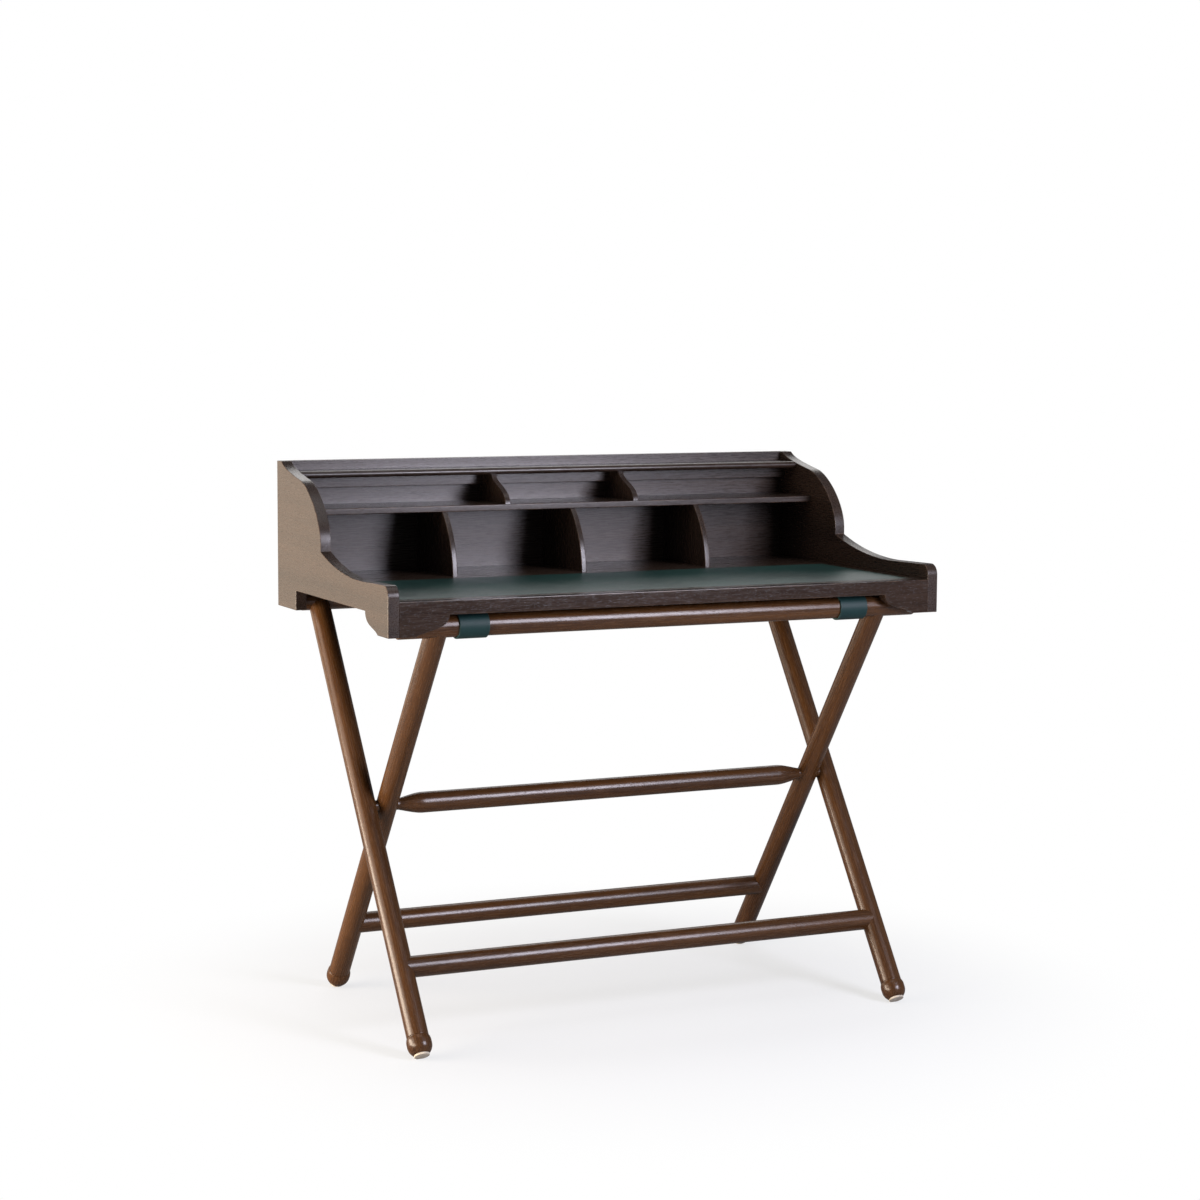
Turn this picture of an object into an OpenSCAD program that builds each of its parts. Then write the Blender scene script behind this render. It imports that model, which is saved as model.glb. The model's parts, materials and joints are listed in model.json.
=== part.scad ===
// Campaign writing desk: an open pigeonhole gallery and a leather topped writing board,
// standing on a folding trestle of turned legs.
// Frame: +X to the right, front towards -Y, +Z up, origin on the floor under the middle.

/* [Overall] */
// Width over the side boards
desk_w = 1050; // [860:5:1280]
// Depth over the side boards
desk_d = 565; // [470:5:680]
// Height of the writing surface above the floor
surface_h = 773; // [650:1:925]
// Rise of the gallery above the writing surface
gallery_h = 204; // [190:1:260]

/* [Writing box] */
// Thickness of the side boards
side_t = 20; // [14:0.5:26]
// Thickness of the writing board
board_t = 24; // [18:0.5:32]
// Thickness of the front and rear rails under the board
rail_t = 20; // [14:0.5:26]
// Depth of the bracket feet below the writing board
foot_drop = 35; // [28:1:45]
// Length of the square rear foot of a side board
rear_foot_l = 100; // [80:1:130]
// Length of the flat bottom of a front bracket foot
front_foot_flat = 50; // [40:1:70]
// Length of the curved flank of a front bracket foot
front_foot_curve = 59; // [45:1:75]

/* [Side profile] */
// Flat at the rear top corner of a side board
flat_top = 24; // [18:1:40]
// Distance from the back to the front of the roll
roll_depth = 234; // [215:1:270]
// Distance from the front of the roll back to where its top curve begins
roll_top_back = 107; // [85:1:130]
// Drop from the top of a side board to where the roll's top curve begins
roll_top_drop = 28.5; // [20:0.5:36]
// Upright part between the step and the roll
roll_foot_rise = 14; // [8:1:20]
// Height of the step at the foot of the roll, above the writing surface
step_rise = 57; // [45:1:75]
// Length of the sweep from the step down to the lip
sweep_l = 198; // [160:1:240]
// Height of the low lip beside the writing surface
lip_rise = 27; // [18:1:35]
// How far the lip dips below its front corner
lip_dip = 3; // [0:0.5:6]
// Radius of the front top corner of the lip
lip_r = 19; // [8:1:22]

/* [Gallery] */
// Thickness of the back panel
back_t = 14; // [8:0.5:20]
// Height of the back panel above the gallery top
upstand_h = 17; // [8:1:24]
// Thickness of the gallery top
top_t = 12; // [8:0.5:18]
// Depth of the gallery top in front of the back panel
top_depth = 65; // [45:1:90]
// Height of the rail under the gallery top
top_rail_h = 20; // [10:1:24]
// Depth of the rail under the gallery top
top_rail_d = 18; // [10:1:24]
// Thickness of the middle shelf
shelf_t = 11; // [8:0.5:16]
// Depth of the middle shelf in front of the back panel
shelf_depth = 127; // [110:1:135]
// Height of the upper pigeonholes
upper_h = 51; // [44:1:70]
// Thickness of the upright dividers
divider_t = 10; // [6:0.5:14]
// Clear width of the middle upper pigeonhole
upper_mid_w = 250; // [180:5:320]
// Distance from the shelf front back to the foot of an upper divider
upper_divider_set = 2; // [0:0.5:8]
// Distance from the gallery top's front back to the head of an upper divider
upper_head_set = 6; // [2:0.5:12]
// Distance from the shelf front back to the head of a lower divider
lower_head_set = 1; // [0:0.5:10]
// How far a lower divider's foot comes in front of its head
lower_sweep = 51; // [20:1:60]

/* [Leather] */
// Thickness of the writing leather
leather_t = 2; // [1:0.1:3]
// Wooden margin at each end of the leather
leather_side = 18; // [8:1:40]
// Wooden margin in front of the leather
leather_front = 40; // [25:1:60]
// Bare strip of board between the leather and the feet of the lower dividers
leather_rear = 26; // [15:1:80]

/* [Straps] */
// Thickness of the strap leather
strap_t = 3; // [2:0.1:4]
// Width of a strap
strap_w = 54; // [35:1:70]
// Distance from the outside of the desk to the middle of a strap
strap_inset = 161; // [140:1:200]
// Length of the strap tail behind the dowel centre
strap_tail = 45; // [38:1:50]
// Radius of a screw shank
screw_r = 2; // [1.5:0.1:2.5]
// Radius of a screw head
screw_head_r = 4.5; // [3.5:0.1:6]
// Height of a screw head
screw_head_h = 1.8; // [1:0.1:2.5]
// Distance between the two screws of a strap
screw_pitch = 27; // [18:1:34]
// Distance of the screws behind the dowel centre
screw_set = 32.5; // [28:0.5:36]
// Wood left between a screw's tip and the leather
screw_cover = 2; // [1:0.5:6]
// Length of a rear rest pad, front to back
pad_l = 34; // [24:1:38]

/* [Trestle] */
// Diameter of the legs
leg_d = 38; // [31:0.5:46]
// Distance from the outside of the desk to the middle of an outer leg
leg_inset = 63; // [55:1:75]
// Gap between an inner leg and the outer leg beside it
leg_gap = 1.6; // [0.8:0.1:4]
// Height of the pivot above half the height of the top dowels
pivot_rise = 21.9; // [0:0.1:45]
// Height of the lower stretchers above the floor
stretcher_h = 137; // [105:1:175]
// Gap between a top dowel's end and the side board
dowel_end_gap = 10; // [4:0.5:20]
// Radius by which the top dowels are stouter than the legs
dowel_step = 0.5; // [0.3:0.1:2]
// Radius by which the stretchers are slimmer than the legs
stretcher_step = 0.5; // [0.3:0.1:2]
// Diameter of the stretcher neck that forms the pivot
neck_d = 20; // [14:0.5:22]
// Bare length of neck between the inner leg and the stretcher's taper
neck_bare = 2; // [1:0.5:20]
// Length of the stretcher's taper from its full thickness to the neck
shoulder_l = 46; // [20:1:70]
// Depth of the pivot bore past the middle of an outer leg
pivot_past = 6; // [2:0.5:9]
// Diameter of the tenons
tenon_d = 18; // [12:0.5:20]
// Length of a tenon inside its socket
tenon_l = 24; // [18:0.5:28]

/* [Feet] */
// Radius by which the turned ball feet stand proud of the legs
ball_swell = 2.5; // [1:0.5:5]
// Length by which a ball foot is longer than round
ball_stretch = 4.5; // [2:0.5:8]
// Radius of the small groove above a ball foot
groove_r = 1.2; // [1:0.1:2.5]
// Distance of the groove's centre outside the leg's surface
groove_out = 0.4; // [0.2:0.1:0.8]
// Radius of a foot glide, which is nailed on square to its leg
glide_r = 13.5; // [10:0.5:15]
// Thickness of a foot glide
glide_t = 3.5; // [2:0.5:5]
// Wood round the edge of a glide
glide_margin = 0.4; // [0.2:0.1:2]
// Depth to which the floor has worn the lowest edge of a glide flat
glide_wear = 1.2; // [0.5:0.1:2]

/* [Fits] */
// Gap between parts that move past each other
move_gap = 0.3; // [0.2:0.05:0.5]
// Radial clearance of the pivot in the outer legs
pivot_gap = 0.08; // [0.03:0.01:0.1]
// Radial clearance of a glued tenon
glue_gap = 0.05; // [0.02:0.01:0.1]

/* [Hidden] */

$fn = 96;
curve_steps = 14;
groove_sides = 24;
cut_margin = 1;

// Shapes of the curves. For each end of a curve, its control point stands towards the
// other end by these shares of the curve's run and of its rise.
scotia_shape = [[0.145, 0.455], [0.39, 0.265]];
roll_shape = [[0.4, 0.06], [0.02, 0.44]];
sweep_shape = [[0.215, 0.455], [0.455, 0.015]];
bracket_shape = [[0.235, 0.34], [0.015, 0.77]];
upper_divider_shape = [[0.06, 0.39], [0.04, 0.61]];
lower_divider_shape = [[0.69, 0.3], [0.035, 0.35]];
shoulder_shape = [[0, 0.3], [0.35, 0.3]];

// colours
dark_wood = [0.16, 0.12, 0.11];
dowel_wood = [0.33, 0.21, 0.13];
desk_leather = [0.13, 0.24, 0.22];
strap_leather = [0.12, 0.23, 0.23];
glide_cream = [0.85, 0.82, 0.74];
screw_metal = [0.55, 0.5, 0.4];

// writing box
front_y = -desk_d / 2;
rear_y = desk_d / 2;
top_z = surface_h + gallery_h;
under_z = surface_h - board_t;
foot_z = under_z - foot_drop;
inner_w = desk_w - 2 * side_t;
panel_y = rear_y - back_t;
step_z = surface_h + step_rise;
lip_z = surface_h + lip_rise;
roll_y = rear_y - roll_depth;
roll_top = [roll_y + roll_top_back, top_z - roll_top_drop];

// gallery
gallery_top_z = top_z - upstand_h;
gallery_under_z = gallery_top_z - top_t;
shelf_z = gallery_under_z - upper_h;
shelf_under_z = shelf_z - shelf_t;
shelf_front_y = panel_y - shelf_depth;
top_front_y = panel_y - top_depth;
upper_divider_x = (upper_mid_w + divider_t) / 2;
lower_bays = 4;
lower_pitch = (inner_w + divider_t) / lower_bays;
lower_head_y = shelf_front_y + lower_head_set;
lower_foot_y = lower_head_y - lower_sweep;

// leather
leather_x = inner_w / 2 - leather_side;
leather_front_y = front_y + leather_front;
leather_rear_y = lower_foot_y - leather_rear;

// trestle
leg_r = leg_d / 2;
top_dowel_r = leg_r + dowel_step;
stretcher_r = leg_r - stretcher_step;
neck_r = neck_d / 2;
tenon_r = tenon_d / 2;
outer_leg_x = desk_w / 2 - leg_inset;
inner_leg_x = outer_leg_x - leg_d - leg_gap;
hinge_z = under_z - strap_t - move_gap - top_dowel_r;
hinge_y = desk_d / 2 - rail_t - move_gap - top_dowel_r;
pivot_h = hinge_z / 2 + pivot_rise;
lean = atan2(hinge_y, hinge_z - pivot_h);
ball_r = leg_r + ball_swell;
groove_reach = ball_stretch + sqrt(pow(ball_r, 2) - pow(leg_r, 2));
seat_reach = sqrt(pow(ball_r, 2) - pow(glide_r + glide_margin, 2));
ball_z = (seat_reach + glide_t) * cos(lean) + glide_r * sin(lean) - glide_wear;
top_reach = (hinge_z - pivot_h) / cos(lean);
foot_reach = (pivot_h - ball_z) / cos(lean);
foot_y = (pivot_h - ball_z) * tan(lean);
stretcher_y = (pivot_h - stretcher_h) * tan(lean);
dowel_half = inner_w / 2 - dowel_end_gap;
neck_end = outer_leg_x + pivot_past - move_gap;
strap_x = desk_w / 2 - strap_inset;
strap_in_r = top_dowel_r + move_gap;
strap_out_r = strap_in_r + strap_t;
screw_tip_z = surface_h - leather_t - screw_cover;
pad_rear_y = rear_y - rail_t - move_gap;
floor_cut = 4 * leg_d;

// A point on a cubic curve and a run of such points
function on_curve(a, b, c, d, t) =
    pow(1 - t, 3) * a + 3 * pow(1 - t, 2) * t * b
    + 3 * (1 - t) * pow(t, 2) * c + pow(t, 3) * d;
function part_way(from, to, share) =
    [from[0] + share[0] * (to[0] - from[0]), from[1] + share[1] * (to[1] - from[1])];
function curve(start, end, shape) =
    [for (i = [0 : curve_steps])
        on_curve(start, part_way(start, end, shape[0]), part_way(end, start, shape[1]),
                 end, i / curve_steps)];

// A run of points on a circle
function arc(centre, r, from, to) =
    [for (i = [0 : curve_steps])
        let (a = from + (to - from) * i / curve_steps)
        centre + r * [cos(a), sin(a)]];

// Flank of a front bracket foot: distance from the corner, height above the foot's bottom
function foot_flank() =
    curve([front_foot_flat, 0], [front_foot_flat + front_foot_curve, foot_drop], bracket_shape);

// Outline of a side board, as [y, z], from the rear top corner forwards
function side_outline() = concat(
    [[rear_y, foot_z], [rear_y, top_z]],
    curve([rear_y - flat_top, top_z], roll_top, scotia_shape),
    curve(roll_top, [roll_y, step_z + roll_foot_rise], roll_shape),
    curve([roll_y, step_z], [roll_y - sweep_l, lip_z - lip_dip], sweep_shape),
    arc([front_y + lip_r, lip_z - lip_r], lip_r, 90, 180),
    [[front_y, foot_z]],
    [for (p = foot_flank()) [front_y + p[0], foot_z + p[1]]],
    [[rear_y - rear_foot_l, under_z], [rear_y - rear_foot_l, foot_z]]
);

// Extrudes an outline drawn as [y, z] along X, centred on x
module along_x(x, thickness) {
    translate([x - thickness / 2, 0, 0])
        rotate([90, 0, 90])
            linear_extrude(thickness) children();
}

// A box given by its two corners
module slab(low, high) {
    translate(low)
        cube(high - low);
}

// A rod along X between two places
module rod_x(x0, x1, y, z, r) {
    translate([x0, y, z])
        rotate([0, 90, 0])
            cylinder(h = x1 - x0, r = r);
}

module side_board(side) {
    color(dark_wood)
        along_x(side * (desk_w - side_t) / 2, side_t)
            polygon(side_outline());
}

module left_side_board() {
    side_board(-1);
}

module right_side_board() {
    side_board(1);
}

// Lower edge of the right bracket foot of the front rail, as [x, z], from the outside inwards
function rail_foot() = concat(
    [[inner_w / 2, foot_z]],
    [for (p = foot_flank()) [desk_w / 2 - p[0], foot_z + p[1]]]
);
function flip_x(points) =
    [for (i = [len(points) - 1 : -1 : 0]) [-points[i][0], points[i][1]]];

module front_rail() {
    half = concat([[inner_w / 2, surface_h]], rail_foot());
    color(dark_wood)
        translate([0, front_y + rail_t, 0])
            rotate([90, 0, 0])
                linear_extrude(rail_t)
                    polygon(concat(half, flip_x(half)));
}

module rear_rail() {
    color(dark_wood)
        slab([-inner_w / 2, rear_y - rail_t, foot_z], [inner_w / 2, rear_y, under_z]);
}

module writing_board() {
    color(dark_wood)
        difference() {
            slab([-inner_w / 2, front_y + rail_t, under_z], [inner_w / 2, panel_y, surface_h]);
            slab([-leather_x, leather_front_y, surface_h - leather_t],
                 [leather_x, leather_rear_y, surface_h + cut_margin]);
            for (side = [-1, 1])
                screw_shanks(side, screw_tip_z);
        }
}

module leather_inset() {
    color(desk_leather)
        slab([-leather_x, leather_front_y, surface_h - leather_t],
             [leather_x, leather_rear_y, surface_h]);
}

module back_panel() {
    color(dark_wood)
        slab([-inner_w / 2, panel_y, under_z], [inner_w / 2, rear_y, top_z]);
}

// Gallery top with a rounded front edge
module gallery_top() {
    nose_r = top_t / 2;
    color(dark_wood)
        union() {
            slab([-inner_w / 2, top_front_y + nose_r, gallery_under_z],
                 [inner_w / 2, panel_y, gallery_top_z]);
            rod_x(-inner_w / 2, inner_w / 2, top_front_y + nose_r,
                  gallery_under_z + nose_r, nose_r);
        }
}

module top_rail() {
    color(dark_wood)
        slab([-inner_w / 2, panel_y - top_rail_d, gallery_under_z - top_rail_h],
             [inner_w / 2, panel_y, gallery_under_z]);
}

module middle_shelf() {
    color(dark_wood)
        slab([-inner_w / 2, shelf_front_y, shelf_under_z], [inner_w / 2, panel_y, shelf_z]);
}

// Upright between two upper pigeonholes, with an ogee front
module upper_divider(x) {
    head = [top_front_y + upper_head_set, gallery_under_z];
    foot = [shelf_front_y + upper_divider_set, shelf_z];
    rail_front = panel_y - top_rail_d;
    rail_under = gallery_under_z - top_rail_h;
    color(dark_wood)
        along_x(x, divider_t)
            polygon(concat(
                curve(head, foot, upper_divider_shape),
                [[panel_y, shelf_z], [panel_y, rail_under],
                 [rail_front, rail_under], [rail_front, gallery_under_z]]
            ));
}

module upper_divider_left() {
    upper_divider(-upper_divider_x);
}

module upper_divider_right() {
    upper_divider(upper_divider_x);
}

// Upright between two lower pigeonholes, its front a long convex curve
module lower_divider(x) {
    color(dark_wood)
        along_x(x, divider_t)
            polygon(concat(
                curve([lower_head_y, shelf_under_z], [lower_foot_y, surface_h],
                      lower_divider_shape),
                [[panel_y, surface_h], [panel_y, shelf_under_z]]
            ));
}

module lower_divider_left() {
    lower_divider(-lower_pitch);
}

module lower_divider_centre() {
    lower_divider(0);
}

module lower_divider_right() {
    lower_divider(lower_pitch);
}

// Places children at the two screws of one strap, on the strap's outer face
module at_screws(side) {
    for (step = [-1, 1])
        translate([side * strap_x + step * screw_pitch / 2, -hinge_y + screw_set,
                   under_z - 2 * strap_t])
            children();
}

// The two screw shanks of one strap, up to the given height
module screw_shanks(side, top) {
    at_screws(side)
        translate([0, 0, -cut_margin])
            cylinder(h = top - under_z + 2 * strap_t + cut_margin, r = screw_r);
}

// Leather strap looped round the front top dowel, its two tails screwed under the board
module strap(side) {
    tail_start = sqrt(pow(strap_in_r + strap_t / 2, 2) - pow(strap_out_r - 2 * strap_t, 2));
    color(strap_leather)
        difference() {
            union() {
                rod_x(side * strap_x - strap_w / 2, side * strap_x + strap_w / 2,
                      -hinge_y, hinge_z, strap_out_r);
                slab([side * strap_x - strap_w / 2, -hinge_y, under_z - strap_t],
                     [side * strap_x + strap_w / 2, -hinge_y + strap_tail, under_z]);
                slab([side * strap_x - strap_w / 2, -hinge_y + tail_start, under_z - 2 * strap_t],
                     [side * strap_x + strap_w / 2, -hinge_y + strap_tail, under_z - strap_t]);
            }
            rod_x(side * strap_x - strap_w, side * strap_x + strap_w,
                  -hinge_y, hinge_z, strap_in_r);
            screw_shanks(side, under_z + cut_margin);
        }
}

module strap_left() {
    strap(-1);
}

module strap_right() {
    strap(1);
}

module strap_screws() {
    color(screw_metal)
        for (side = [-1, 1]) {
            screw_shanks(side, screw_tip_z);
            at_screws(side)
                translate([0, 0, -screw_head_h])
                    cylinder(h = screw_head_h, r = screw_head_r);
        }
}

// Leather pads that the board rests on above the rear top dowel
module rear_pads() {
    color(strap_leather)
        for (side = [-1, 1])
            slab([side * strap_x - strap_w / 2, pad_rear_y - pad_l, under_z - strap_t],
                 [side * strap_x + strap_w / 2, pad_rear_y, under_z]);
}

// Places children at the pivot, in the leaning frame of one leg: front is -1 where
// the leg's head is at the front (inner legs) and 1 where it is at the rear (outer legs)
module in_leg_frame(x, front) {
    translate([x, 0, pivot_h])
        rotate([-front * lean, 0, 0]) children();
}

// The turned shaft of a leg with its ball foot, flat underneath for its glide
module leg_blank() {
    difference() {
        union() {
            translate([0, 0, -foot_reach])
                cylinder(h = foot_reach + top_reach, r = leg_r);
            translate([0, 0, -foot_reach])
                sphere(r = ball_r);
            translate([0, 0, -foot_reach])
                cylinder(h = ball_stretch, r = ball_r);
            translate([0, 0, -foot_reach + ball_stretch])
                sphere(r = ball_r);
        }
        translate([0, 0, -foot_reach + groove_reach])
            rotate_extrude()
                translate([leg_r + groove_out, 0])
                    circle(r = groove_r, $fn = groove_sides);
        translate([0, 0, -foot_reach - ball_r - cut_margin])
            cylinder(h = ball_r + cut_margin - seat_reach, r = ball_r);
    }
}

// One leg, cut to its top dowel, with its sockets and head tenon
module leg(x, front, pivot_r, pivot_from, pivot_to) {
    side = x < 0 ? -1 : 1;
    socket_end = x - side * (leg_r - tenon_l - cut_margin);
    socket_mouth = x - side * (leg_r + cut_margin);
    color(dowel_wood)
        union() {
            difference() {
                in_leg_frame(x, front)
                    leg_blank();
                rod_x(x - 2 * leg_r, x + 2 * leg_r, front * hinge_y, hinge_z, top_dowel_r);
                rod_x(min(pivot_from, pivot_to), max(pivot_from, pivot_to), 0, pivot_h, pivot_r);
                rod_x(min(socket_end, socket_mouth), max(socket_end, socket_mouth),
                      -front * stretcher_y, stretcher_h, tenon_r + glue_gap);
            }
            in_leg_frame(x, front)
                translate([0, 0, top_reach - top_dowel_r - leg_r])
                    cylinder(h = leg_r + tenon_l, r = tenon_r);
        }
}

module inner_leg(side) {
    x = side * inner_leg_x;
    leg(x, -1, neck_r + glue_gap, x - leg_r - cut_margin, x + leg_r + cut_margin);
}

module outer_leg(side) {
    x = side * outer_leg_x;
    leg(x, 1, neck_r + pivot_gap, x - side * (leg_r + cut_margin), x + side * pivot_past);
}

module inner_leg_left() {
    inner_leg(-1);
}

module inner_leg_right() {
    inner_leg(1);
}

module outer_leg_left() {
    outer_leg(-1);
}

module outer_leg_right() {
    outer_leg(1);
}

// Round top rail of one frame, bored for the head tenons of its two legs
module top_dowel(front, leg_x) {
    color(dowel_wood)
        difference() {
            rod_x(-dowel_half, dowel_half, front * hinge_y, hinge_z, top_dowel_r);
            for (side = [-1, 1])
                in_leg_frame(side * leg_x, front)
                    translate([0, 0, top_reach - top_dowel_r - leg_r])
                        cylinder(h = leg_r + tenon_l + cut_margin, r = tenon_r + glue_gap);
        }
}

module front_top_dowel() {
    top_dowel(-1, inner_leg_x);
}

module rear_top_dowel() {
    top_dowel(1, outer_leg_x);
}

// Round lower stretcher of one frame, coped to its two legs and tenoned into them
module lower_stretcher(front, leg_x) {
    y = -front * stretcher_y;
    tenon_end = leg_x - leg_r + tenon_l;
    color(dowel_wood)
        union() {
            difference() {
                rod_x(-leg_x, leg_x, y, stretcher_h, stretcher_r);
                for (side = [-1, 1])
                    in_leg_frame(side * leg_x, front)
                        translate([0, 0, -foot_reach])
                            cylinder(h = foot_reach, r = leg_r);
            }
            for (side = [-1, 1])
                rod_x(min(side * (leg_x - leg_d), side * tenon_end),
                      max(side * (leg_x - leg_d), side * tenon_end),
                      y, stretcher_h, tenon_r);
        }
}

module rear_lower_stretcher() {
    lower_stretcher(-1, inner_leg_x);
}

module front_lower_stretcher() {
    lower_stretcher(1, outer_leg_x);
}

// Stretcher on the pivot line: its turned necks pass through the inner legs
// and turn in blind bores in the outer legs
module middle_stretcher() {
    neck_start = inner_leg_x - leg_r - neck_bare;
    full_end = neck_start - shoulder_l;
    shoulder = curve([stretcher_r, full_end], [neck_r, neck_start], shoulder_shape);
    color(dowel_wood)
        translate([0, 0, pivot_h])
            rotate([0, 90, 0])
                rotate_extrude()
                    polygon(concat(
                        [[0, -neck_end], [neck_r, -neck_end]],
                        [for (i = [len(shoulder) - 1 : -1 : 0]) [shoulder[i][0], -shoulder[i][1]]],
                        shoulder,
                        [[neck_r, neck_end], [0, neck_end]]
                    ));
}

// Round glides on the feet of one frame, square to the legs and worn flat by the floor
module foot_glides(front, leg_x) {
    color(glide_cream)
        for (side = [-1, 1])
            difference() {
                in_leg_frame(side * leg_x, front)
                    translate([0, 0, -foot_reach - seat_reach - glide_t])
                        cylinder(h = glide_t, r = glide_r);
                translate([side * leg_x - floor_cut / 2, -front * foot_y - floor_cut / 2,
                           -floor_cut])
                    cube(floor_cut);
            }
}

module inner_foot_glides() {
    foot_glides(-1, inner_leg_x);
}

module outer_foot_glides() {
    foot_glides(1, outer_leg_x);
}

left_side_board();
right_side_board();
front_rail();
rear_rail();
writing_board();
leather_inset();
back_panel();
gallery_top();
top_rail();
middle_shelf();
upper_divider_left();
upper_divider_right();
lower_divider_left();
lower_divider_centre();
lower_divider_right();
strap_left();
strap_right();
strap_screws();
rear_pads();
inner_leg_left();
inner_leg_right();
front_top_dowel();
middle_stretcher();
rear_lower_stretcher();
inner_foot_glides();
outer_leg_left();
outer_leg_right();
rear_top_dowel();
front_lower_stretcher();
outer_foot_glides();
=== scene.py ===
"""Looks of the campaign writing desk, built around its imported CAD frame."""

import json
import math
import random

import bmesh
import bpy
from mathutils import Matrix, Vector


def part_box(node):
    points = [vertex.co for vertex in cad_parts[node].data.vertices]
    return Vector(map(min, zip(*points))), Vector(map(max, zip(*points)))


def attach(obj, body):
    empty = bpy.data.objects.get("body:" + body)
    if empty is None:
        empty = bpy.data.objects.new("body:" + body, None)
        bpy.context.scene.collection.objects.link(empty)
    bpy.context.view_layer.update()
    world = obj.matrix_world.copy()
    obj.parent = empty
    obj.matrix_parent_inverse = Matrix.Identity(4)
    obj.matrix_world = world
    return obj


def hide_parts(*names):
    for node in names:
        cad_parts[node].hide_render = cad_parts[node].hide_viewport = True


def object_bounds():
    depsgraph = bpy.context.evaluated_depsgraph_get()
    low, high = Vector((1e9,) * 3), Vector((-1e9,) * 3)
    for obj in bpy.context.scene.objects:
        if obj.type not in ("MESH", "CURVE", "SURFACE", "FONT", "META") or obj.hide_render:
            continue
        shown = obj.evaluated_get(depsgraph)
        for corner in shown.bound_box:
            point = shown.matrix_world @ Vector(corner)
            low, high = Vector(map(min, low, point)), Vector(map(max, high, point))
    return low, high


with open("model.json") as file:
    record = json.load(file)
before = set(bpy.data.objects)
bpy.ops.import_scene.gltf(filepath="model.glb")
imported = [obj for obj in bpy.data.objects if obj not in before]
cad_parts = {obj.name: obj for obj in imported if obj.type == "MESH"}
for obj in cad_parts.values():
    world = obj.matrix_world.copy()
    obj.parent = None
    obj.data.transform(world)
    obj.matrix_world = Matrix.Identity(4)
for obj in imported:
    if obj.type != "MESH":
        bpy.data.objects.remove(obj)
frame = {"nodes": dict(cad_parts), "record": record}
record = frame["record"]
cad_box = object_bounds()

MM = 0.001
X, Y, Z = Vector((1, 0, 0)), Vector((0, 1, 0)), Vector((0, 0, 1))
BODY_OF = {n: b for b, members in record["behaviour"]["bodies"].items() for n in members}
SLOT_OF = {s["node"]: s["material_slot"] for s in record["subparts"]}
HINGE = {j["name"]: Vector(j["pos_m"]) for j in record["behaviour"]["joints"]}

# ---------------------------------------------------------------- materials


class Tree:
    """A material's node tree, with short calls for the nodes that are used here."""

    def __init__(self, name):
        self.mat = bpy.data.materials.new(name)
        self.mat.use_nodes = True
        self.nodes = self.mat.node_tree.nodes
        self.links = self.mat.node_tree.links
        self.shader = self.nodes["Principled BSDF"]

    def feed(self, socket, value):
        if isinstance(value, bpy.types.NodeSocket):
            self.links.new(value, socket)
        else:
            socket.default_value = value

    def grain(self, scale):
        """The piece's own wood coordinates, stretched by a scale along, across and into it."""
        source = self.nodes.new("ShaderNodeAttribute")
        source.attribute_name = "grain"
        return self.stretch(source.outputs["Vector"], scale)

    def place(self, scale):
        source = self.nodes.new("ShaderNodeTexCoord")
        return self.stretch(source.outputs["Object"], scale)

    def stretch(self, vector, scale):
        node = self.nodes.new("ShaderNodeVectorMath")
        node.operation = "MULTIPLY"
        self.links.new(vector, node.inputs[0])
        node.inputs[1].default_value = scale
        return node.outputs["Vector"]

    def number(self, name):
        """A number that the mesh carries: edge is the rounded edges, polish a rubbed up piece."""
        source = self.nodes.new("ShaderNodeAttribute")
        source.attribute_name = name
        return source.outputs["Fac"]

    def noise(self, vector, detail=2.0, roughness=0.5, distortion=0.0):
        node = self.nodes.new("ShaderNodeTexNoise")
        self.links.new(vector, node.inputs["Vector"])
        node.inputs["Scale"].default_value = 1.0
        node.inputs["Detail"].default_value = detail
        node.inputs["Roughness"].default_value = roughness
        node.inputs["Distortion"].default_value = distortion
        return node.outputs["Fac"]

    def cells(self, vector, smooth):
        node = self.nodes.new("ShaderNodeTexVoronoi")
        node.feature = "SMOOTH_F1"
        self.links.new(vector, node.inputs["Vector"])
        node.inputs["Scale"].default_value = 1.0
        node.inputs["Smoothness"].default_value = smooth
        return node.outputs["Distance"]

    def span(self, value, low, high, to_low=0.0, to_high=1.0):
        node = self.nodes.new("ShaderNodeMapRange")
        node.clamp = True
        self.feed(node.inputs["Value"], value)
        for socket, number in zip(("From Min", "From Max", "To Min", "To Max"),
                                  (low, high, to_low, to_high)):
            node.inputs[socket].default_value = number
        return node.outputs["Result"]

    def math(self, operation, a, b):
        node = self.nodes.new("ShaderNodeMath")
        node.operation = operation
        self.feed(node.inputs[0], a)
        self.feed(node.inputs[1], b)
        return node.outputs["Value"]

    def mix(self, share, a, b):
        node = self.nodes.new("ShaderNodeMix")
        node.data_type = "RGBA"
        self.feed(node.inputs["Factor"], share)
        self.feed(node.inputs["A"], a)
        self.feed(node.inputs["B"], b)
        return node.outputs["Result"]

    def bump(self, height, strength, distance):
        node = self.nodes.new("ShaderNodeBump")
        self.links.new(height, node.inputs["Height"])
        node.inputs["Strength"].default_value = strength
        node.inputs["Distance"].default_value = distance
        self.links.new(node.outputs["Normal"], self.shader.inputs["Normal"])

    def set(self, **values):
        for name, value in values.items():
            self.feed(self.shader.inputs[name.replace("_", " ")], value)


def rgba(red, green, blue):
    return (red, green, blue, 1.0)


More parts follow.
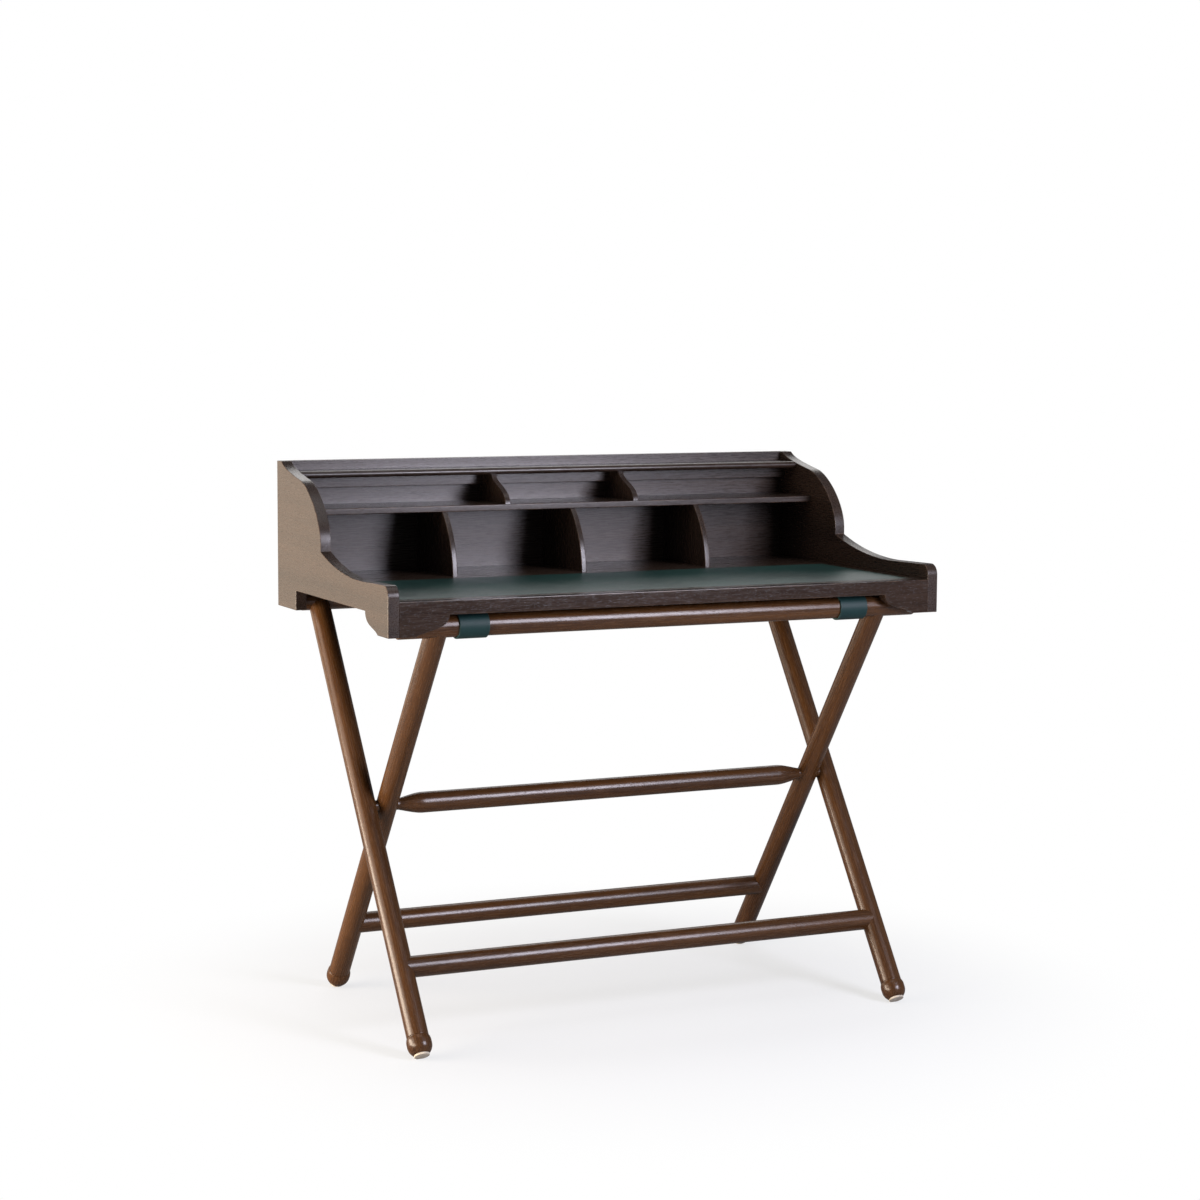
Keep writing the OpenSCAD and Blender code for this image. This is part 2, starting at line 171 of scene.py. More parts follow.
def wood(name, deep, body, pale, bare, gloss, streak_scale, shine):
    """Stained and lacquered open grained wood: streaks, fibres, pores and rubbed edges."""
    t = Tree(name)
    streak = t.noise(t.grain(streak_scale), 5.0, 0.58, 0.35)
    broad = t.noise(t.grain((1.6, 5.0, 5.0)), 2.0)
    fibre = t.noise(t.grain((30.0, 520.0, 520.0)), 3.0, 0.6)
    pore = t.span(t.noise(t.grain((150.0, 1500.0, 1500.0)), 1.0), 0.62, 0.70)
    colour = t.mix(t.span(streak, 0.30, 0.70), rgba(*deep), rgba(*body))
    colour = t.mix(t.math("MULTIPLY", t.span(fibre, 0.45, 0.75), 0.45), colour, rgba(*pale))
    colour = t.mix(t.math("MULTIPLY", t.span(broad, 0.35, 0.65), 0.25), colour, rgba(*deep))
    colour = t.mix(t.math("MULTIPLY", pore, 0.65), colour, rgba(*[0.45 * c for c in deep]))
    patchy = t.span(t.noise(t.grain((35.0, 90.0, 90.0)), 3.0), 0.42, 0.68)
    rubbed = t.math("MULTIPLY", t.number("edge"), patchy)
    colour = t.mix(t.math("MULTIPLY", rubbed, 0.55), colour, rgba(*bare))
    rough = t.math("ADD", t.span(fibre, 0.3, 0.7, gloss - 0.04, gloss + 0.06),
                   t.math("MULTIPLY", pore, 0.18))
    rough = t.math("SUBTRACT", rough, t.math("MULTIPLY", t.number("polish"), 0.11))
    t.set(Base_Color=colour, Roughness=rough, Specular_IOR_Level=shine)
    t.bump(t.math("SUBTRACT", t.math("MULTIPLY", fibre, 0.5), pore), 0.15, 0.0002)
    return t.mat


def leather(name, deep, body, pale, pebble, gloss, relief, shine):
    """Dyed leather with a pebbled grain, soft mottling and polished edges."""
    t = Tree(name)
    wander = t.noise(t.place((260.0,) * 3), 3.0)
    cell = t.cells(t.place((1.0 / pebble,) * 3), 0.6)
    mottle = t.noise(t.place((7.0,) * 3), 4.0, 0.6)
    fine = t.noise(t.place((2600.0,) * 3), 2.0)
    colour = t.mix(t.span(mottle, 0.3, 0.7), rgba(*deep), rgba(*body))
    crease = t.math("MULTIPLY", t.span(cell, 0.25, 0.75), 0.35)
    colour = t.mix(crease, colour, rgba(*[0.5 * c for c in deep]))
    polished = t.math("MULTIPLY", t.number("edge"), t.span(wander, 0.4, 0.7, 0.1, 0.6))
    colour = t.mix(polished, colour, rgba(*pale))
    rough = t.math("ADD", t.span(mottle, 0.3, 0.7, gloss - 0.05, gloss + 0.06),
                   t.span(cell, 0.2, 0.9, 0.0, 0.12))
    t.set(Base_Color=colour, Roughness=rough, Specular_IOR_Level=shine)
    height = t.math("ADD", t.span(cell, 0.0, 0.9, 1.0, 0.0),
                    t.math("ADD", t.math("MULTIPLY", wander, 0.4), t.math("MULTIPLY", fine, 0.15)))
    t.bump(height, relief, 0.0003)
    return t.mat


def matt_plastic(name, deep, body):
    """Matt plastic, finely scuffed and slightly soiled."""
    t = Tree(name)
    scuff = t.noise(t.place((1900.0, 1900.0, 900.0)), 4.0, 0.7)
    soil = t.noise(t.place((90.0,) * 3), 3.0)
    colour = t.mix(t.span(soil, 0.35, 0.75, 0.0, 0.8), rgba(*body), rgba(*deep))
    t.set(Base_Color=colour, Roughness=t.span(scuff, 0.2, 0.8, 0.8, 1.0), Sheen_Weight=0.3,
          Sheen_Roughness=0.5)
    t.bump(scuff, 0.5, 0.0004)
    return t.mat


def brass(name, body, dull):
    """Dull turned brass."""
    t = Tree(name)
    tarnish = t.noise(t.place((240.0,) * 3), 4.0, 0.65)
    lines = t.noise(t.place((900.0, 6000.0, 900.0)), 2.0)
    t.set(Base_Color=t.mix(t.span(tarnish, 0.4, 0.7), rgba(*body), rgba(*dull)),
          Metallic=1.0, Roughness=t.span(tarnish, 0.3, 0.7, 0.28, 0.5))
    t.bump(lines, 0.08, 0.0001)
    return t.mat


MATERIALS = {
    "dark_wood": wood("dark_wood", (0.017, 0.010, 0.007), (0.042, 0.025, 0.017),
                      (0.074, 0.047, 0.034), (0.150, 0.090, 0.056), 0.27, (1.3, 30.0, 30.0), 0.5),
    "dowel_wood": wood("dowel_wood", (0.035, 0.014, 0.005), (0.096, 0.040, 0.012),
                       (0.155, 0.073, 0.027), (0.290, 0.160, 0.076), 0.25, (1.6, 60.0, 60.0), 0.46),
    "desk_leather": leather("desk_leather", (0.009, 0.038, 0.033), (0.018, 0.070, 0.058),
                            (0.036, 0.100, 0.085), 0.0015, 0.35, 0.24, 0.62),
    "strap_leather": leather("strap_leather", (0.006, 0.028, 0.029), (0.010, 0.044, 0.044),
                             (0.036, 0.085, 0.086), 0.0011, 0.46, 0.30, 0.32),
    "glide": matt_plastic("glide", (0.40, 0.34, 0.26), (0.72, 0.66, 0.55)),
    "screw_metal": brass("screw_metal", (0.62, 0.46, 0.20), (0.32, 0.23, 0.11)),
}

# Pieces that hands and sleeves keep shinier than the rest
RUBBED_UP = ("front_rail",)

# ---------------------------------------------------------------- mesh tools


def wear_layer(bm):
    return bm.loops.layers.float.get("edge") or bm.loops.layers.float.new("edge")


SHARP = math.radians(24)
STRAIGHT = math.radians(0.2)
SAME = 1e-5


def soften(bm, width, segments=3, keep=None):
    """Rounds the sharp edges of a solid, apart from those that keep(edge) names."""
    layer = wear_layer(bm)
    bm.normal_update()
    sharp = [e for e in bm.edges
             if len(e.link_faces) == 2 and e.calc_face_angle(0.0) > SHARP
             and not (keep and keep(e))]
    made = bmesh.ops.bevel(bm, geom=sharp, offset=width, offset_type="OFFSET", segments=segments,
                           profile=0.5, affect="EDGES", clamp_overlap=True)
    for face in made["faces"]:
        for loop in face.loops:
            loop[layer] = 1.0


def piece(node, bm, along, across, smooth_angle=30):
    """Turns a bmesh into the shown piece for a CAD node, with its wood coordinates."""
    name = "look_" + node
    mesh = bpy.data.meshes.new(name)
    bmesh.ops.recalc_face_normals(bm, faces=bm.faces)
    wear_layer(bm)
    for face in bm.faces:
        face.smooth = True
    bm.to_mesh(mesh)
    bm.free()
    mesh.set_sharp_from_angle(angle=math.radians(smooth_angle))
    seed = random.Random(name)
    shift = Vector([seed.uniform(0, 7) for _ in range(3)])
    along, across = Vector(along).normalized(), Vector(across).normalized()
    basis = Matrix((along, across, along.cross(across)))
    grain = mesh.attributes.new("grain", "FLOAT_VECTOR", "POINT")
    grain.data.foreach_set("vector", [c for v in mesh.vertices for c in basis @ v.co + shift])
    polish = mesh.attributes.new("polish", "FLOAT", "POINT")
    polish.data.foreach_set("value", [1.0 if node in RUBBED_UP else 0.0] * len(mesh.vertices))
    obj = bpy.data.objects.new(name, mesh)
    bpy.context.scene.collection.objects.link(obj)
    mesh.materials.append(MATERIALS[SLOT_OF[node]])
    even = obj.modifiers.new("even", "WEIGHTED_NORMAL")
    even.keep_sharp = True
    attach(obj, BODY_OF[node])
    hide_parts(node)
    return obj


def prism(outline, axis, low, high):
    """A solid with an outline, given as 3-D points, drawn out along an axis from low to high."""
    bm = bmesh.new()
    flat = [p - axis * p.dot(axis) for p in outline]
    near = [bm.verts.new(p + axis * low) for p in flat]
    far = [bm.verts.new(p + axis * high) for p in flat]
    bm.faces.new(near)
    bm.faces.new(list(reversed(far)))
    for i in range(len(flat)):
        j = (i + 1) % len(flat)
        bm.faces.new((near[i], far[i], far[j], near[j]))
    bmesh.ops.recalc_face_normals(bm, faces=bm.faces)
    return bm


def outline_of(node, axis):
    """The outline of a CAD node that was drawn out along an axis, in order, from its own mesh."""
    mesh = frame["nodes"][node].data
    depth = [v.co.dot(axis) for v in mesh.vertices]
    top = max(depth)
    count = {}
    spot = {}
    for polygon in mesh.polygons:
        if all(abs(depth[i] - top) < SAME for i in polygon.vertices):
            keys = []
            for i in polygon.vertices:
                key = tuple(round(c, 5) for c in mesh.vertices[i].co)
                spot[key] = mesh.vertices[i].co.copy()
                keys.append(key)
            for a, b in zip(keys, keys[1:] + keys[:1]):
                if a != b:
                    count[frozenset((a, b))] = count.get(frozenset((a, b)), 0) + 1
    near = {}
    for pair, times in count.items():
        if times == 1:
            a, b = tuple(pair)
            near.setdefault(a, []).append(b)
            near.setdefault(b, []).append(a)
    start = min(near)
    loop, last, here = [start], None, start
    while True:
        ahead = [k for k in sorted(near[here]) if k != last][0]
        if ahead == start:
            break
        loop.append(ahead)
        last, here = here, ahead
    points = [spot[k] for k in loop]
    corners = []
    for i, p in enumerate(points):
        before, after = p - points[i - 1], points[(i + 1) % len(points)] - p
        if before.angle(after) > STRAIGHT:
            corners.append(p)
    return corners


def slab(low, high):
    low, high = Vector(low), Vector(high)
    corners = [Vector((low.x, y, z)) for y, z in
               ((low.y, low.z), (high.y, low.z), (high.y, high.z), (low.y, high.z))]
    return prism(corners, X, low.x, high.x)


def on_plane(edge, axis, value, slack=2e-5):
    return all(abs(v.co.dot(axis) - value) < slack for v in edge.verts)


def revolve(profile, start, direction, sides=72):
    """A solid turned from (distance along, radius) points; a radius of 0 closes an end."""
    bm = bmesh.new()
    direction = Vector(direction).normalized()
    u = direction.orthogonal().normalized()
    w = direction.cross(u)
    rings = []
    for along, radius in profile:
        centre = start + direction * along
        if radius < 1e-7:
            rings.append([bm.verts.new(centre)])
        else:
            rings.append([bm.verts.new(centre + (u * math.cos(a) + w * math.sin(a)) * radius)
                          for a in (2 * math.pi * k / sides for k in range(sides))])
    for one, two in zip(rings, rings[1:]):
        for k in range(sides):
            m = (k + 1) % sides
            quad = [one[k % len(one)], one[m % len(one)], two[m % len(two)], two[k % len(two)]]
            bm.faces.new(list(dict.fromkeys(quad)))
    bmesh.ops.recalc_face_normals(bm, faces=bm.faces)
    return bm


def quarter(along, radius, size, outward, steps=5):
    """Points of a rounded end of a rod, from its end face out to its side, or back again."""
    points = []
    for i in range(steps + 1):
        a = math.pi / 2 * i / steps
        points.append((along + outward * size * math.sin(a) - outward * size,
                       radius - size + size * math.cos(a)))
    return points if outward > 0 else list(reversed(points))


def rod(length, radius, ease):
    return ([(0.0, 0.0)] + quarter(0.0, radius, ease, -1) + quarter(length, radius, ease, 1)
            + [(length, 0.0)])


def cubic(t, a, b, c, d):
    """A cubic curve's value at t, from its two ends a and d and their leads b and c."""
    return (1 - t) ** 3 * a + 3 * (1 - t) ** 2 * t * b + 3 * (1 - t) * t ** 2 * c + t ** 3 * d


def join(parts):
    """One bmesh from several."""
    whole = bmesh.new()
    for part in parts:
        mesh = bpy.data.meshes.new("part")
        part.to_mesh(mesh)
        part.free()
        whole.from_mesh(mesh)
        bpy.data.meshes.remove(mesh)
    return whole


# ---------------------------------------------------------------- writing box

# How far the edges of each kind of piece are rounded
EASE = 1.1 * MM
RAIL_EASE = 0.8 * MM
SHELF_EASE = 1.4 * MM
RECESS_EASE = 0.25 * MM
LEATHER_EASE = 0.7 * MM
DIVIDER_EASE = 1.5 * MM
PAD_EASE = 0.9 * MM
GLIDE_EASE = 0.9 * MM
ROD_EASE = 2.2 * MM

box = {n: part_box(n) for n in frame["nodes"]}
board_top = box["writing_board"][1].z

for side, node in ((-1, "left_side_board"), (1, "right_side_board")):
    low, high = box[node]
    inner = low.x if side > 0 else high.x
    bm = prism(outline_of(node, X), X, low.x, high.x)
    soften(bm, EASE, keep=lambda e: on_plane(e, X, inner) and max(v.co.z for v in e.verts) < board_top)
    piece(node, bm, Y, Z)

low, high = box["front_rail"]
bm = prism(outline_of("front_rail", Y), Y, low.y, high.y)
soften(bm, EASE, keep=lambda e: on_plane(e, X, low.x) or on_plane(e, X, high.x)
       or (on_plane(e, Y, high.y) and on_plane(e, Z, high.z)))
piece("front_rail", bm, X, Z)

for node in ("rear_rail", "back_panel", "top_rail"):
    low, high = box[node]
    bm = slab(low, high)
    soften(bm, RAIL_EASE, keep=lambda e: on_plane(e, X, low.x) or on_plane(e, X, high.x))
    piece(node, bm, X, Z)

low, high = box["middle_shelf"]
bm = slab(low, high)
soften(bm, SHELF_EASE, 4, keep=lambda e: on_plane(e, X, low.x) or on_plane(e, X, high.x)
       or on_plane(e, Y, high.y))
piece("middle_shelf", bm, X, Y)

low, high = box["gallery_top"]
nose = (high.z - low.z) / 2
outline = [Vector((0, high.y, high.z)), Vector((0, high.y, low.z))]
NOSE_STEPS = 24
for i in range(NOSE_STEPS + 1):
    a = math.pi * i / NOSE_STEPS
    outline.append(Vector((0, low.y + nose - nose * math.sin(a), low.z + nose - nose * math.cos(a))))
piece("gallery_top", prism(outline, X, low.x, high.x), X, Y)

# The board has a shallow recess for its leather
low, high = box["writing_board"]
leather_low, leather_high = box["leather_inset"]
bm = bmesh.new()


def ring(x0, x1, y0, y1, z):
    return [bm.verts.new(p) for p in ((x0, y0, z), (x1, y0, z), (x1, y1, z), (x0, y1, z))]


levels = [
    ring(low.x, high.x, low.y, high.y, low.z),
    ring(low.x, high.x, low.y, high.y, high.z),
    ring(leather_low.x, leather_high.x, leather_low.y, leather_high.y, high.z),
    ring(leather_low.x, leather_high.x, leather_low.y, leather_high.y, leather_low.z),
]
bm.faces.new(levels[0])
bm.faces.new(levels[3])
for one, two in zip(levels, levels[1:]):
    for i in range(4):
        bm.faces.new((one[i], one[(i + 1) % 4], two[(i + 1) % 4], two[i]))
bmesh.ops.recalc_face_normals(bm, faces=bm.faces)
soften(bm, RECESS_EASE, 2)
piece("writing_board", bm, X, Y)

bm = slab(leather_low, leather_high)
soften(bm, LEATHER_EASE, 4, keep=lambda e: on_plane(e, Z, leather_low.z)
       or abs(e.verts[0].co.z - e.verts[1].co.z) > 0.1 * MM)
piece("leather_inset", bm, X, Y)

for node in [n for n in frame["nodes"] if "_divider_" in n]:
    low, high = box[node]
    back = high.y
    bm = prism(outline_of(node, X), X, low.x, high.x)
    soften(bm, DIVIDER_EASE, 4, keep=lambda e: on_plane(e, Y, back, 20 * MM)
           or abs(sum(f.normal.z for f in e.link_faces)) > 0.9)
    piece(node, bm, Z, Y)

# ---------------------------------------------------------------- straps and screws

dowel_low, dowel_high = box["front_top_dowel"]
top_dowel_r = (dowel_high.z - dowel_low.z) / 2
hinge = HINGE["trestle_fold"]
STRAP_GAP = 0.3 * MM
WRAP_FROM, WRAP_TO, WRAP_STEPS = 90, 386, 36
JOIN_STEPS = 10
# Strips of the section that are the strap's two broad faces
FLAT_STRIPS = (4, 14)

for node in ("strap_left", "strap_right"):
    low, high = box[node]
    strap_r = hinge.y - low.y
    thick = strap_r - top_dowel_r - STRAP_GAP
    mid_r = strap_r - thick / 2
    tail = high.y - hinge.y
    # From the upper tail's end, round the dowel, and back along under the upper tail
    path = [(tail, mid_r), (0.6 * tail, mid_r), (0.3 * tail, mid_r)]
    for i in range(WRAP_STEPS + 1):
        a = math.radians(WRAP_FROM + (WRAP_TO - WRAP_FROM) * i / WRAP_STEPS)
        path.append((mid_r * math.cos(a), mid_r * math.sin(a)))
    a, b = path[-1], (0.62 * tail, mid_r - thick)
    lead_a = (a[0] - 0.10 * mid_r, a[1] + 0.36 * mid_r)
    lead_b = (b[0] - 0.62 * mid_r, b[1])
    for i in range(1, JOIN_STEPS + 1):
        t = i / JOIN_STEPS
        path.append(tuple(cubic(t, *line) for line in zip(a, lead_a, lead_b, b)))
    path.append((tail, mid_r - thick))
    half_w, half_t, round_r = (high.x - low.x) / 2, thick / 2, 0.9 * MM
    section = []
    for sx, sn, a0 in ((1, 1, 0), (-1, 1, 90), (-1, -1, 180), (1, -1, 270)):
        for k in range(5):
            a = math.radians(a0 + 90 * k / 4)
            section.append((sx * (half_w - round_r) + round_r * math.cos(a),
                            sn * (half_t - round_r) + round_r * math.sin(a)))
    bm = bmesh.new()
    layer = wear_layer(bm)
    rings = []
    for i, point in enumerate(path):
        before, after = path[max(i - 1, 0)], path[min(i + 1, len(path) - 1)]
        tangent = Vector((0, after[0] - before[0], after[1] - before[1])).normalized()
        normal = tangent.cross(X)
        centre = Vector(((low.x + high.x) / 2, hinge.y + point[0], hinge.z + point[1]))
        rings.append([bm.verts.new(centre + X * sx + normal * sn) for sx, sn in section])
    for one, two in zip(rings, rings[1:]):
        for k in range(len(section)):
            m = (k + 1) % len(section)
            face = bm.faces.new((one[k], one[m], two[m], two[k]))
            if k not in FLAT_STRIPS:
                for loop in face.loops:
                    loop[layer] = 1.0
    bm.faces.new(rings[0])
    bm.faces.new(list(reversed(rings[-1])))
    piece(node, bm, Y, X, smooth_angle=50)

low, high = box["strap_screws"]
centres = sorted({(round(f.center.x, 4), round(f.center.y, 4))
                  for f in frame["nodes"]["strap_screws"].data.polygons
                  if abs(f.center.z - high.z) < SAME and abs(f.normal.z) > 0.9})
# Faces nearer to each other than this belong to the same screw
ONE_SCREW = 6 * MM
groups = []
for c in centres:
    for g in groups:
        if abs(g[0][0] - c[0]) < ONE_SCREW:
            g.append(c)
            break
    else:
        groups.append([c])
screw_r, head_r, head_h = 2.0 * MM, 4.5 * MM, 1.8 * MM
HEAD_STEPS = 6
heads = []
mid_y = (low.y + high.y) / 2
for g in groups:
    mid_x = (min(c[0] for c in g) + max(c[0] for c in g)) / 2
    profile = [(0.0, 0.0)]
    for i in range(1, HEAD_STEPS + 1):
        a = math.pi / 2 * i / HEAD_STEPS
        profile.append((head_h * 0.75 * (1 - math.cos(a)), head_r * math.sin(a)))
    profile += [(head_h, head_r), (head_h, screw_r), (high.z - low.z, screw_r), (high.z - low.z, 0.0)]
    heads.append(revolve(profile, Vector((mid_x, mid_y, low.z)), Z, 40))
piece("strap_screws", join(heads), Z, X)

low, high = box["rear_pads"]
width = box["strap_left"][1].x - box["strap_left"][0].x
pads = []
for x0 in (low.x, high.x - width):
    pad = slab((x0, low.y, low.z), (x0 + width, high.y, high.z))
    soften(pad, PAD_EASE)
    pads.append(pad)
piece("rear_pads", join(pads), Y, X)

# ---------------------------------------------------------------- trestle

pivot = HINGE["scissor_pivot"]
DOWEL_STEP = 0.5 * MM
leg_r = top_dowel_r - DOWEL_STEP
groove_r, groove_out, stretch = 1.2 * MM, 0.4 * MM, 4.5 * MM
glide_r, glide_t, glide_margin = 13.5 * MM, 3.5 * MM, 0.4 * MM
BALL_STEPS, CAP_STEPS, GROOVE_STEPS, SHAFT_STEPS = 14, 8, 8, 24
discs = {"inner_foot_glides": [], "outer_foot_glides": []}

for node in ("inner_leg_left", "inner_leg_right", "outer_leg_left", "outer_leg_right"):
    low, high = box[node]
    inner = node.startswith("inner")
    dowel_low, dowel_high = box["front_top_dowel" if inner else "rear_top_dowel"]
    ball_r = (high.x - low.x) / 2
    seat = math.sqrt(ball_r ** 2 - (glide_r + glide_margin) ** 2)
    dowel_mid = (dowel_low + dowel_high) / 2
    head = Vector(((low.x + high.x) / 2, dowel_mid.y, dowel_mid.z))
    lean = (head - Vector((head.x, pivot.y, pivot.z))).normalized()
    foot = head + lean * (((high.y - ball_r if inner else low.y + ball_r) - head.y) / lean.y)
    span = (head - foot).length
    # Turned from the seat of the glide, round the ball, over the groove and up the shaft
    profile = [(-seat, 0.0)]
    start = -math.acos((glide_r + glide_margin) / ball_r)
    for i in range(BALL_STEPS + 1):
        a = start * (1 - i / BALL_STEPS)
        profile.append((ball_r * math.sin(a), ball_r * math.cos(a)))
    meet = math.acos((leg_r + groove_out) / ball_r)
    for i in range(CAP_STEPS + 1):
        a = meet * i / CAP_STEPS
        profile.append((stretch + ball_r * math.sin(a), ball_r * math.cos(a)))
    groove_at = stretch + math.sqrt(ball_r ** 2 - leg_r ** 2)
    for i in range(2, GROOVE_STEPS + 1):
        a = math.pi * i / GROOVE_STEPS
        if groove_at - groove_r * math.cos(a) > profile[-1][0]:
            profile.append((groove_at - groove_r * math.cos(a),
                            leg_r + (groove_out - groove_r) * math.sin(a)))
    for i in range(1, SHAFT_STEPS + 1):
        profile.append((groove_at + groove_r + (span - groove_at - groove_r) * i / SHAFT_STEPS, leg_r))
    profile.append((span, 0.0))
    bm = revolve(profile, foot, lean)
    piece(node, bm, lean, X)
    # Its glide, slightly rounded, with the lowest edge worn flat by the floor
    bm = revolve(rod(glide_t, glide_r, GLIDE_EASE), foot - lean * (seat + glide_t), lean, 64)
    cut = bmesh.ops.bisect_plane(bm, geom=bm.verts[:] + bm.edges[:] + bm.faces[:], dist=1e-6,
                                 plane_co=(0, 0, 0), plane_no=(0, 0, -1), clear_outer=True)
    bmesh.ops.edgeloop_fill(bm, edges=[g for g in cut["geom_cut"] if isinstance(g, bmesh.types.BMEdge)])
    discs["inner_foot_glides" if inner else "outer_foot_glides"].append(bm)

for node, parts in discs.items():
    piece(node, join(parts), X, Y)

for node in ("front_top_dowel", "rear_top_dowel", "rear_lower_stretcher", "front_lower_stretcher"):
    low, high = box[node]
    length, radius = high.x - low.x, (high.z - low.z) / 2
    if "stretcher" in node:
        legs = "inner_leg_right" if node.startswith("rear") else "outer_leg_right"
        length = box[legs][0].x + box[legs][1].x
    centre = (low + high) / 2
    bm = revolve(rod(length, radius, ROD_EASE), centre - X * length / 2, X)
    piece(node, bm, X, Y)

low, high = box["middle_stretcher"]
half = (high.x - low.x) / 2
full_r, neck_r = (high.z - low.z) / 2, 10 * MM
inner_face = (box["inner_leg_right"][0].x + box["inner_leg_right"][1].x) / 2 - leg_r
neck_bare, taper = 2 * MM, 46 * MM
neck_from = inner_face - neck_bare
right = []
TAPER_STEPS = 16
for i in range(TAPER_STEPS + 1):
    t = i / TAPER_STEPS
    along = cubic(t, neck_from - taper, neck_from - 0.7 * taper, neck_from - 0.3 * taper, neck_from)
    radius = cubic(t, full_r, full_r, neck_r + 0.35 * (full_r - neck_r), neck_r)
    right.append((along, radius))
right += [(half, neck_r), (half, 0.0)]
profile = [(-a, r) for a, r in reversed(right)] + right
bm = revolve(profile, (low + high) / 2, X)
piece("middle_stretcher", bm, X, Y)

# ---------------------------------------------------------------- floor, light and camera


FLOOR_HALF = 14
# The floor's own white grows from its least share, under the desk, to all of it further out
FADE_FROM, FADE_TO, FADE_LEAST = 0.35, 1.05, 0.62


def stage_floor():
    """A pale floor that takes soft shadows under the desk and fades to plain white around it."""
    bm = bmesh.new()
    for x, y in ((-1, -1), (1, -1), (1, 1), (-1, 1)):
        bm.verts.new((x * FLOOR_HALF, y * FLOOR_HALF, 0))
    bm.faces.new(bm.verts)
    mesh = bpy.data.meshes.new("floor")
    bm.to_mesh(mesh)
    bm.free()
    floor = bpy.data.objects.new("floor", mesh)
    bpy.context.scene.collection.objects.link(floor)
    mat = bpy.data.materials.new("floor")
    mat.use_nodes = True
    nodes, links = mat.node_tree.nodes, mat.node_tree.links
    shader = nodes["Principled BSDF"]
    shader.inputs["Base Color"].default_value = rgba(0.765, 0.80, 0.83)
    shader.inputs["Roughness"].default_value = 1.0
    shader.inputs["Specular IOR Level"].default_value = 0.0
    glow = nodes.new("ShaderNodeEmission")
    glow.inputs["Color"].default_value = rgba(1, 1, 1)
    spot = nodes.new("ShaderNodeTexCoord")
    distance = nodes.new("ShaderNodeVectorMath")
    distance.operation = "LENGTH"
    links.new(spot.outputs["Object"], distance.inputs[0])
    fade = nodes.new("ShaderNodeMapRange")
    fade.interpolation_type = "SMOOTHSTEP"
    fade.inputs["From Min"].default_value = FADE_FROM
    fade.inputs["From Max"].default_value = FADE_TO
    fade.inputs["To Min"].default_value = FADE_LEAST
    fade.inputs["To Max"].default_value = 1.0
    links.new(distance.outputs["Value"], fade.inputs["Value"])
    blend = nodes.new("ShaderNodeMixShader")
    links.new(fade.outputs["Result"], blend.inputs["Fac"])
    links.new(shader.outputs["BSDF"], blend.inputs[1])
    links.new(glow.outputs["Emission"], blend.inputs[2])
    grey = nodes.new("ShaderNodeBsdfDiffuse")
    grey.inputs["Color"].default_value = rgba(0.35, 0.35, 0.35)
    seen = nodes.new("ShaderNodeLightPath")
    choice = nodes.new("ShaderNodeMixShader")
    links.new(seen.outputs["Is Camera Ray"], choice.inputs["Fac"])
    links.new(grey.outputs["BSDF"], choice.inputs[1])
    links.new(blend.outputs["Shader"], choice.inputs[2])
    links.new(choice.outputs["Shader"], nodes["Material Output"].inputs["Surface"])
    mesh.materials.append(mat)


def softbox(name, place, aim, width, height, radiance):
    """A rectangular light of a given brightness per colour, turned to face a point."""
    data = bpy.data.lights.new(name, "AREA")
    data.shape = "RECTANGLE"
    data.size, data.size_y = width, height
    peak = max(radiance)
    data.color = [c / peak for c in radiance]
    data.energy = peak * math.pi * width * height
    light = bpy.data.objects.new(name, data)
    light.location = place
    light.rotation_euler = (Vector(aim) - Vector(place)).to_track_quat("-Z", "Y").to_euler()
    bpy.context.scene.collection.objects.link(light)


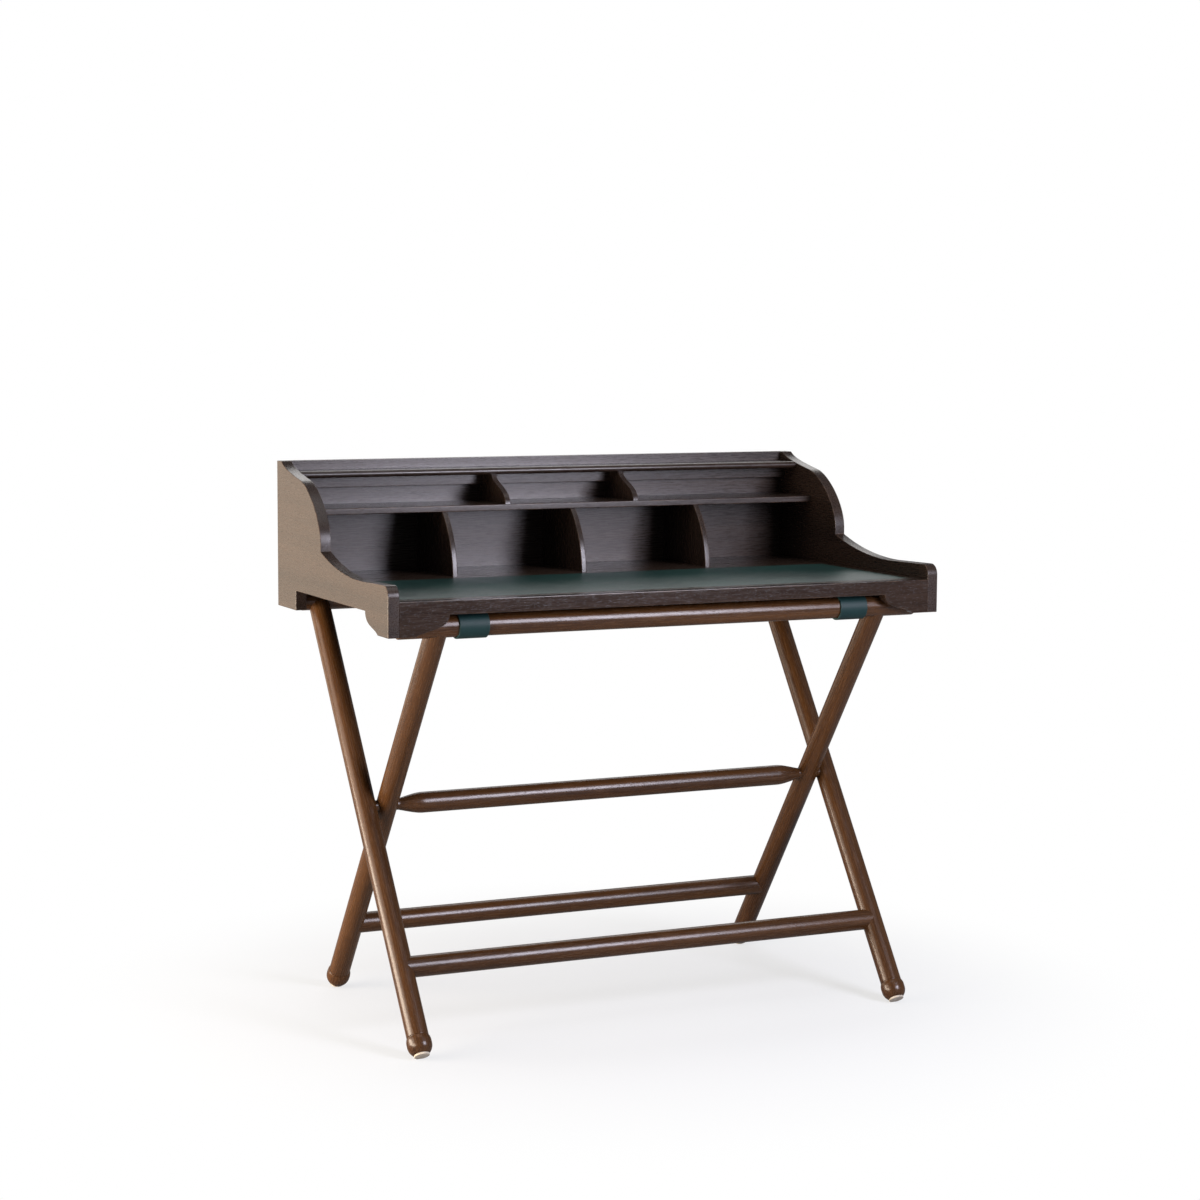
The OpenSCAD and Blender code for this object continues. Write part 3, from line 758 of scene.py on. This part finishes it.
stage_floor()
softbox("left_light", (-3.0, 0.4, 1.25), (-0.5, 0.0, 0.75), 2.6, 1.8, (3.0, 2.5, 2.05))
softbox("low_left_light", (-2.3, 0.0, 0.38), (-0.3, 0.0, 0.4), 2.6, 0.66, (15.0, 12.6, 10.2))
softbox("rear_left_card", (-1.75, 2.9, 1.15), (-0.52, 0.0, 0.85), 2.0, 2.3, (1.42, 1.16, 0.9))
softbox("front_right_window", (1.1, -2.7, 1.6), (0.0, 0.2, 0.95), 0.9, 1.4, (19.0, 18.6, 21.6))
softbox("rear_top_light", (0.8, 2.4, 2.0), (0.0, -0.1, 0.8), 2.4, 1.0, (2.0, 1.97, 1.94))
softbox("overhead", (-0.2, -0.4, 3.4), (0.0, 0.0, 0.6), 2.6, 2.6, (0.9, 0.9, 0.92))

world = bpy.data.worlds.new("studio")
bpy.context.scene.world = world
world.use_nodes = True
nodes, links = world.node_tree.nodes, world.node_tree.links
room = nodes["Background"]
room.inputs["Color"].default_value = rgba(0.14, 0.14, 0.15)
backdrop = nodes.new("ShaderNodeBackground")
backdrop.inputs["Color"].default_value = rgba(1, 1, 1)
seen = nodes.new("ShaderNodeLightPath")
blend = nodes.new("ShaderNodeMixShader")
links.new(seen.outputs["Is Camera Ray"], blend.inputs["Fac"])
links.new(room.outputs["Background"], blend.inputs[1])
links.new(backdrop.outputs["Background"], blend.inputs[2])
links.new(blend.outputs["Shader"], nodes["World Output"].inputs["Surface"])

bpy.context.scene.view_settings.view_transform = "Standard"

# The view is from the left of the front and a little above, with a long lens. Angles are in
# degrees. The aim is the middle of the desk, moved left and up.
LENS, SENSOR = 80.64, 36.0
AZIMUTH, ELEVATION, ROLL = 25.171, 5.984, 0.263
DISTANCE = 4.853
AIM_LEFT, AIM_RISE = 0.0107, 0.2413
low, high = cad_box
aim = (low + high) / 2 + Vector((-AIM_LEFT, 0, AIM_RISE))
turn, tip, roll = (math.radians(a) for a in (AZIMUTH, ELEVATION, ROLL))
forward = Vector((math.sin(turn) * math.cos(tip), math.cos(turn) * math.cos(tip), -math.sin(tip)))
level = Vector((math.cos(turn), -math.sin(turn), 0))
upward = level.cross(forward)
right = level * math.cos(roll) + upward * math.sin(roll)
up = upward * math.cos(roll) - level * math.sin(roll)
lens = bpy.data.cameras.new("camera")
lens.lens, lens.sensor_width = LENS, SENSOR
lens.clip_start, lens.clip_end = 0.1, 60.0
camera = bpy.data.objects.new("camera", lens)
camera.matrix_world = Matrix.Translation(aim - forward * DISTANCE) @ Matrix(
    (right, up, -forward)).transposed().to_4x4()
bpy.context.scene.collection.objects.link(camera)
bpy.context.scene.camera = camera
